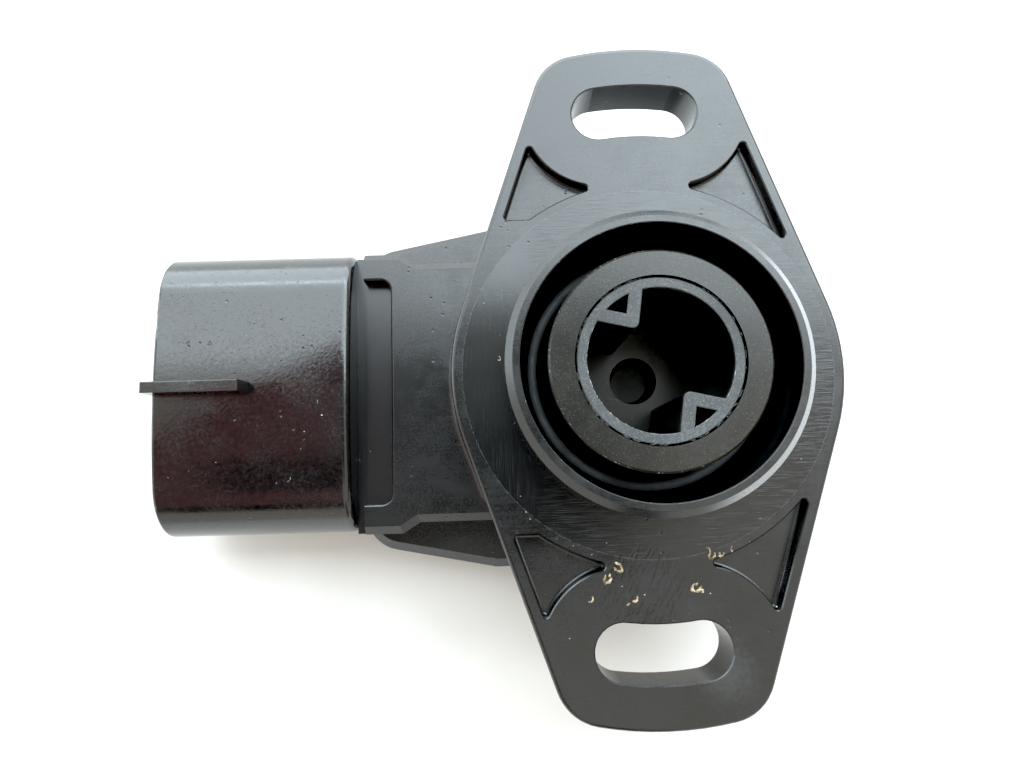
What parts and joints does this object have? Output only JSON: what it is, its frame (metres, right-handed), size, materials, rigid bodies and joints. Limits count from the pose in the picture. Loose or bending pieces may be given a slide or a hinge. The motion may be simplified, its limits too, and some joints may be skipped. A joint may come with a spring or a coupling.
{
  "type": "throttle position sensor",
  "caption": "Rotary throttle position sensor with a slotted mounting flange, round locating spigot, sprung drive cup and side plug socket.",
  "frame": {"origin": "on the rotor axis, in the flange face that bolts to the throttle body", "axes": "+Z leaves the flange along the rotor axis, towards the throttle body; -X points out of the plug socket; the mounting slots lie at +Y and -Y"},
  "size_m": [0.0586, 0.0554, 0.0233],
  "materials": {
    "housing": "matt dark grey glass-filled moulding",
    "cover": "matt dark grey glass-filled moulding",
    "sealant": "satin cured bead",
    "rotor": "matt, grainy",
    "sleeve": "matt, lighter grey, worn at the tangs",
    "spring_steel": "drawn wire",
    "pin_steel": "ground",
    "contact": "rolled bronze sheet",
    "board": "glass-epoxy board",
    "carbon": "printed resistive ink",
    "conductor": "tinned copper alloy",
    "terminal": "tin-plated blade"
  },
  "bodies": {
    "stator": {"housing": "housing", "rear_cover": "cover", "cover_sealant": "sealant", "return_spring": "spring_steel", "pivot_pin": "pin_steel", "spring_washer": "spring_steel", "resistor_substrate": "board", "resistor_track": "carbon", "collector_track": "carbon", "trace_supply": "conductor", "trace_signal": "conductor", "trace_ground": "conductor", "terminal_supply": "terminal", "terminal_signal": "terminal", "terminal_ground": "terminal", "lead_supply": "conductor", "lead_signal": "conductor", "lead_ground": "conductor"},
    "rotor": {"rotor_drum": "rotor", "drive_sleeve": "sleeve", "contact_wiper": "contact"}
  },
  "joints": [
    {"name": "rotor_turn", "type": "hinge", "parent": "stator", "child": "rotor", "pos_m": [0, 0, 0], "axis": [0, 0, 1], "range_deg": [0, 100], "stiffness_Nm_per_rad": 0.004, "springref_deg": -57.3, "deforming": ["return_spring"]}
  ]
}
